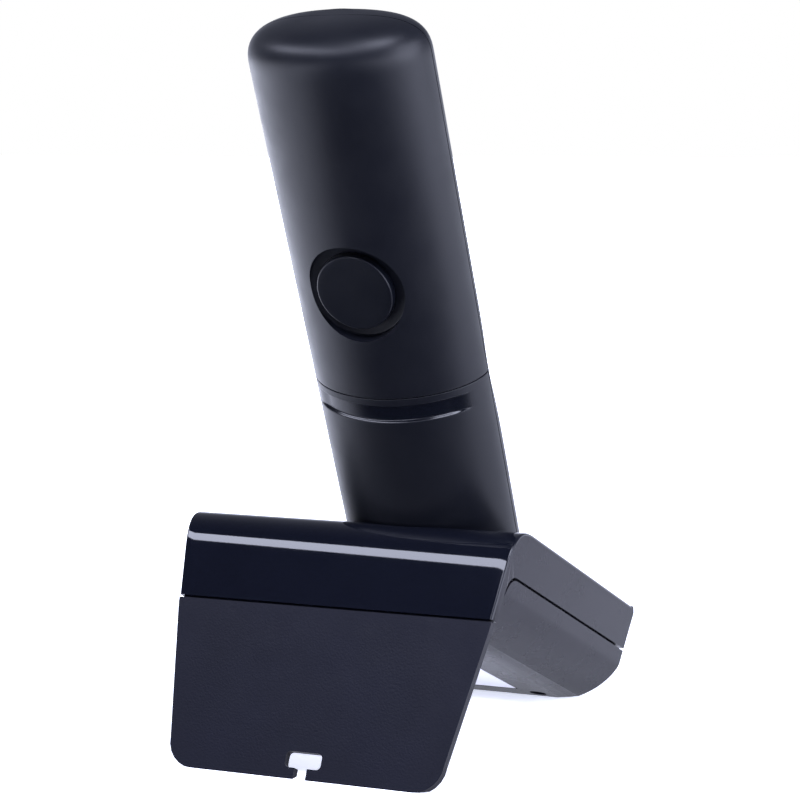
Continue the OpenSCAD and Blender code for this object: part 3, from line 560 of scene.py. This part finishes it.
def plastic(name, color, rough, grain=0.0, grain_size=0.4, spread=0.08, level=0.5, metal=0.0, wear=0.25):
    """Moulded plastic or metal: slight colour drift (spread), uneven gloss (wear), and a fine grain as
    bump (strength, and size in millimetres). Level is the specular level."""
    mat = bpy.data.materials.new(name)
    mat.use_nodes = True
    nt = mat.node_tree
    shader = nt.nodes["Principled BSDF"]
    shader.inputs["Metallic"].default_value = metal
    shader.inputs["Specular IOR Level"].default_value = level
    place = nt.nodes.new("ShaderNodeTexCoord")

    def noise(scale, detail):
        node = nt.nodes.new("ShaderNodeTexNoise")
        node.inputs["Scale"].default_value = scale
        node.inputs["Detail"].default_value = detail
        nt.links.new(place.outputs["Object"], node.inputs["Vector"])
        return node

    cloud = noise(CLOUD_SCALE, 3)
    ramp = nt.nodes.new("ShaderNodeValToRGB")
    darker, lighter = ramp.color_ramp.elements
    darker.position, lighter.position = NOISE_LOW, NOISE_HIGH
    darker.color = (*[c * (1 - spread) for c in color], 1)
    lighter.color = (*[min(1, c * (1 + spread)) for c in color], 1)
    nt.links.new(cloud.outputs["Fac"], ramp.inputs["Fac"])
    nt.links.new(ramp.outputs["Color"], shader.inputs["Base Color"])
    gloss = noise(GLOSS_SCALE, 4)
    drift = nt.nodes.new("ShaderNodeMapRange")
    drift.inputs["From Min"].default_value, drift.inputs["From Max"].default_value = NOISE_LOW, NOISE_HIGH
    drift.inputs["To Min"].default_value = rough * (1 - wear * 0.4)
    drift.inputs["To Max"].default_value = rough * (1 + wear * 0.4)
    nt.links.new(gloss.outputs["Fac"], drift.inputs["Value"])
    nt.links.new(drift.outputs["Result"], shader.inputs["Roughness"])
    if grain:
        fine = noise(1000 / grain_size, 2)
        bump = nt.nodes.new("ShaderNodeBump")
        bump.inputs["Strength"].default_value = grain
        bump.inputs["Distance"].default_value = GRAIN_HEIGHT
        nt.links.new(fine.outputs["Fac"], bump.inputs["Height"])
        nt.links.new(bump.outputs["Normal"], shader.inputs["Normal"])
    return mat


def glass(name, color, rough):
    mat = plastic(name, color, rough, 0.05, 0.6, 0.03)
    mat.node_tree.nodes["Principled BSDF"].inputs["Alpha"].default_value = 0.35
    return mat


MATS = {
    "handset": plastic("handset_satin", (0.0018, 0.0022, 0.0040), 0.40, 0.22, 0.35, 0.06, 0.18),
    "thumb": plastic("thumb_gloss", (0.0015, 0.0019, 0.0034), 0.16, 0.05, 0.5, 0.06, 0.18),
    "gloss": plastic("ridge_gloss", (0.0025, 0.0030, 0.0055), 0.045, 0.02, 0.9, 0.06, 0.2, wear=0.5),
    "side": plastic("side_satin", (0.0085, 0.0082, 0.0106), 0.27, 0.2, 0.4, 0.06, 0.036, wear=0.08),
    "leg": plastic("leg_grained", (0.0030, 0.0034, 0.0072), 0.48, 0.8, 0.55, 0.10, 0.075),
    "cover": plastic("cover_satin", (0.0016, 0.0020, 0.0036), 0.34, 0.2, 0.35, 0.05, 0.14),
    "key": plastic("key_grey", (0.10, 0.105, 0.12), 0.38, 0.2, 0.4),
    "key_dark": plastic("key_dark", (0.02, 0.021, 0.026), 0.25, 0.1, 0.4),
    "key_green": plastic("key_green", (0.02, 0.22, 0.06), 0.3, 0.1, 0.4),
    "key_red": plastic("key_red", (0.34, 0.02, 0.02), 0.3, 0.1, 0.4),
    "page": plastic("page_grey", (0.09, 0.095, 0.11), 0.36, 0.2, 0.4),
    "black": plastic("part_black", (0.012, 0.012, 0.013), 0.5, 0.5, 0.5),
    "rubber": plastic("foot_rubber", (0.02, 0.02, 0.021), 0.75, 0.9, 0.3),
    "steel": plastic("screw_steel", (0.5, 0.5, 0.52), 0.32, 0.3, 0.3, metal=1.0),
    "contact": plastic("contact_gold", (0.8, 0.6, 0.3), 0.25, 0.2, 0.3, metal=1.0),
    "board": plastic("board_green", (0.02, 0.13, 0.05), 0.35, 0.4, 0.8),
    "speaker": plastic("speaker_metal", (0.3, 0.3, 0.32), 0.4, 0.3, 0.3, metal=1.0),
    "mat": plastic("mat_rubber", (0.25, 0.26, 0.28), 0.6, 0.5, 0.3),
    "cell": plastic("cell_wrap", (0.04, 0.2, 0.1), 0.35, 0.1, 0.5),
    "screen": plastic("display_grey", (0.25, 0.30, 0.26), 0.3, 0.1, 0.5),
    "lens": glass("display_lens", (0.02, 0.022, 0.025), 0.06),
    "print": plastic("key_print", (0.75, 0.76, 0.78), 0.5, 0.1, 0.2),
    "label": plastic("label_silver", (0.72, 0.72, 0.76), 0.4, 0.3, 0.3, metal=0.3),
}


def dress(obj, key):
    obj.data.materials.clear()
    obj.data.materials.append(MATS[key])


for obj, key, slot in ((rear_shell, "handset", "handset_satin"), (battery_door, "handset", "handset_satin"),
                       (front_shell, "handset", "handset_satin"), (cover, "cover", "handset_satin"),
                       (fascia, "gloss", "gloss_black")):
    dress(obj, key)
battery_door.data.materials.append(MATS["thumb"])
for poly, deep in zip(battery_door.data.polygons, IN_THUMB):
    poly.material_index = 1 if deep else 0
LOOK = {
    "upper_housing": "side", "lower_housing": "side", "cradle_cup": "gloss", "page_key": "page",
    "rubber_feet": "rubber", "line_socket": "black", "power_socket": "black", "base_screws": "steel",
    "display_lens": "lens", "page_switch": "black", "base_board": "board", "charge_pins": "contact",
    "rating_label": "label", "loudspeaker": "speaker", "earpiece": "speaker", "microphone": "contact",
    "display_module": "screen", "key_mat": "mat", "handset_board": "board", "battery_cell_left": "cell",
    "battery_cell_right": "cell", "battery_contacts": "contact", "charge_pads": "contact",
    "aerial": "contact",
    "handset_screws": "steel", "rear_shell": "handset", "front_shell": "handset", "battery_door": "handset",
    "speaker_cover": "cover", "top_fascia": "gloss", "talk_key": "key_green", "end_key": "key_red",
    "menu_key_left": "key_dark", "menu_key_right": "key_dark", "cursor_key": "key_dark",
}
LOOK.update({node: "key" for node in DIGIT_NODES})
for node, key in LOOK.items():
    dress(NODES[node], key)
    fine = bpy.data.objects.get("fine_" + node)
    if fine:
        dress(fine, key)

# The leg's faces carry the grained finish
leg = bpy.data.objects["fine_lower_housing"]
leg.data.materials.append(MATS["leg"])
n_leg = Vector((0, math.sin(LEG_SLOPE), math.cos(LEG_SLOPE)))
for poly in leg.data.polygons:
    if abs(poly.normal.dot(n_leg)) > 0.98:
        poly.material_index = 1

# Printed digits on the keys
DIGIT_SIZE, DIGIT_T, KEY_PROUD, STAR_DROP = 5.2, 0.02, 1.0, 1.2
for label, node, (x, z, *_) in zip(DIGITS, DIGIT_NODES, KEYS):
    curve = bpy.data.curves.new("digit", "FONT")
    curve.body, curve.size, curve.extrude = label, DIGIT_SIZE * MM, DIGIT_T * MM
    curve.align_x, curve.align_y = "CENTER", "CENTER"
    temp = bpy.data.objects.new("digit", curve)
    bpy.context.scene.collection.objects.link(temp)
    bpy.context.view_layer.update()
    mesh = bpy.data.meshes.new_from_object(temp.evaluated_get(bpy.context.evaluated_depsgraph_get()))
    bpy.data.objects.remove(temp)
    top = Vector((x, FACE_Y - KEY_PROUD - 0.015, z - (STAR_DROP if label == "*" else 0))) * MM
    mesh.transform(HS_MATRIX @ Matrix.Translation(top) @ Y_TO_Z)
    digit = bpy.data.objects.new("digit_" + node[4:], mesh)
    bpy.context.scene.collection.objects.link(digit)
    dress(digit, "print")
    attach(digit, node)

# ---- Stage, light and camera ----
bpy.ops.mesh.primitive_plane_add(size=12, location=(0, 0, 0))
floor = bpy.context.object
floor.name = "floor"
floor_mat = plastic("pale_floor_painted_glow", (0.86, 0.86, 0.87), 0.6, 0.0, 1.0, 0.01, 0.2)
# The floor's emission is painted glow: the floor gives off light of its own, tinted blue
floor_glow = floor_mat.node_tree.nodes["Principled BSDF"]
floor_glow.inputs["Emission Color"].default_value = (0.90, 0.94, 1.12, 1.0)
# Painted reflection: glossy rays see a painted dark patch on the floor close behind the object, and the
# floor's painted glow rises towards the sides
ft = floor_mat.node_tree
ray = ft.nodes.new("ShaderNodeLightPath")
spot = ft.nodes.new("ShaderNodeTexCoord")
place = ft.nodes.new("ShaderNodeSeparateXYZ")
ft.links.new(spot.outputs["Object"], place.inputs[0])


def ramp_of(value, lo, hi, out_lo=0.0, out_hi=1.0):
    node = ft.nodes.new("ShaderNodeMapRange")
    node.interpolation_type = "SMOOTHSTEP"
    for name, number in (("From Min", lo), ("From Max", hi), ("To Min", out_lo), ("To Max", out_hi)):
        node.inputs[name].default_value = number
    ft.links.new(value, node.inputs["Value"])
    return node.outputs["Result"]


def maths(kind, first, second=0.0):
    node = ft.nodes.new("ShaderNodeMath")
    node.operation = kind
    for socket, value in zip(node.inputs, (first, second)):
        if isinstance(value, float):
            socket.default_value = value
        else:
            ft.links.new(value, socket)
    return node.outputs["Value"]


# Centre of the painted glow and the painted dark patch, and the painted glow's strength in the middle and at
# the sides
GLOW_CENTRE, GLOW_MID, GLOW_SIDE = 0.08, 0.75, 3.4
wide = maths("ABSOLUTE", maths("ADD", place.outputs["X"], GLOW_CENTRE))
# Mask of the painted dark reflection: a patch on the floor close behind the object
dark = maths("MULTIPLY", ramp_of(place.outputs["Y"], 0.02, 0.09), ramp_of(wide, 0.16, 0.27, 1.0, 0.0))
# Painted glow, rising from the middle of the floor towards the sides
ft.links.new(ramp_of(wide, 0.12, 0.66, GLOW_MID, GLOW_SIDE), floor_glow.inputs["Emission Strength"])
# Dark diffuse shown to glossy rays only: a painted dark reflection
painted_dark_reflection = ft.nodes.new("ShaderNodeBsdfDiffuse")
painted_dark_reflection.inputs["Color"].default_value = (0.02, 0.022, 0.03, 1)
blend = ft.nodes.new("ShaderNodeMixShader")
ft.links.new(maths("MULTIPLY", dark, ray.outputs["Is Glossy Ray"]), blend.inputs["Fac"])
ft.links.new(floor_glow.outputs["BSDF"], blend.inputs[1])
ft.links.new(painted_dark_reflection.outputs["BSDF"], blend.inputs[2])
ft.links.new(blend.outputs["Shader"], ft.nodes["Material Output"].inputs["Surface"])
floor.data.materials.append(floor_mat)


TINT = (0.88, 0.92, 1.14)
AIM = Vector((0.0, 0.0, 0.09))


def soft_light(name, toward, distance, width, height, power):
    """Area light at a distance from AIM in the given direction, facing AIM."""
    data = bpy.data.lights.new(name, "AREA")
    data.shape, data.size, data.size_y, data.energy, data.color = "RECTANGLE", width, height, power, TINT
    light = bpy.data.objects.new(name, data)
    d = Vector(toward).normalized()
    light.location = AIM + d * distance
    light.rotation_mode = "QUATERNION"
    light.rotation_quaternion = d.to_track_quat("Z", "Y")
    bpy.context.scene.collection.objects.link(light)


soft_light("key_soft", (0.4246, 0.595, 0.682), 1.3, 1.5, 0.165, 20)
soft_light("top_soft", (-0.30, 0.50, 0.80), 1.2, 0.5, 0.4, 16)
soft_light("right_soft", (-1.0, 0.25, 0.25), 1.1, 0.9, 0.9, 25)

# The camera sees a white background; other rays see a soft room, brighter in front and low down
world = bpy.data.worlds.new("studio")
bpy.context.scene.world = world
world.use_nodes = True
wt = world.node_tree
wt.nodes.clear()
out = wt.nodes.new("ShaderNodeOutputWorld")
mix = wt.nodes.new("ShaderNodeMixShader")
path = wt.nodes.new("ShaderNodeLightPath")
seen = wt.nodes.new("ShaderNodeBackground")
seen.inputs["Color"].default_value = (1, 1, 1, 1)
seen.inputs["Strength"].default_value = 1.0
soft = wt.nodes.new("ShaderNodeBackground")
coord = wt.nodes.new("ShaderNodeTexCoord")
toward = wt.nodes.new("ShaderNodeSeparateXYZ")
wt.links.new(coord.outputs["Generated"], toward.inputs["Vector"])
soft.inputs["Color"].default_value = (*TINT, 1)
level = wt.nodes.new("ShaderNodeMath")
level.operation = "MULTIPLY"
ROOM = (("Y", -0.35, 0.35, 1.5, 0.12), ("Z", 0.12, 0.42, 1.0, 0.32))
for i, (axis, low, high, first, last) in enumerate(ROOM):
    scale = wt.nodes.new("ShaderNodeMapRange")
    scale.inputs["From Min"].default_value, scale.inputs["From Max"].default_value = low, high
    scale.inputs["To Min"].default_value, scale.inputs["To Max"].default_value = first, last
    wt.links.new(toward.outputs[axis], scale.inputs["Value"])
    wt.links.new(scale.outputs["Result"], level.inputs[i])
wt.links.new(level.outputs["Value"], soft.inputs["Strength"])
wt.links.new(path.outputs["Is Camera Ray"], mix.inputs["Fac"])
wt.links.new(soft.outputs["Background"], mix.inputs[1])
wt.links.new(seen.outputs["Background"], mix.inputs[2])
wt.links.new(mix.outputs["Shader"], out.inputs["Surface"])

LENS, SENSOR_W = 113.98, 36
CAMERA_AT = Vector((-294.10, 620.54 + ORIGIN_Y, 180.89)) * MM
ROUND, RISE, ROLL = math.radians(24.172), math.radians(6.904), math.radians(-0.521)
camera_data = bpy.data.cameras.new("camera")
camera = bpy.data.objects.new("camera", camera_data)
bpy.context.scene.collection.objects.link(camera)
back = Vector((-math.sin(ROUND) * math.cos(RISE), math.cos(ROUND) * math.cos(RISE), math.sin(RISE)))
right = Vector((-math.cos(ROUND), -math.sin(ROUND), 0))
up = back.cross(right)
right, up = right * math.cos(ROLL) + up * math.sin(ROLL), up * math.cos(ROLL) - right * math.sin(ROLL)
turn = Matrix((right, up, back)).transposed().to_4x4()
camera.matrix_world = Matrix.Translation(CAMERA_AT) @ turn
camera_data.sensor_width, camera_data.lens = SENSOR_W, LENS
camera_data.clip_start, camera_data.clip_end = 0.05, 30
bpy.context.scene.camera = camera
bpy.context.scene.view_settings.view_transform = "Standard"

bpy.context.view_layer.update()
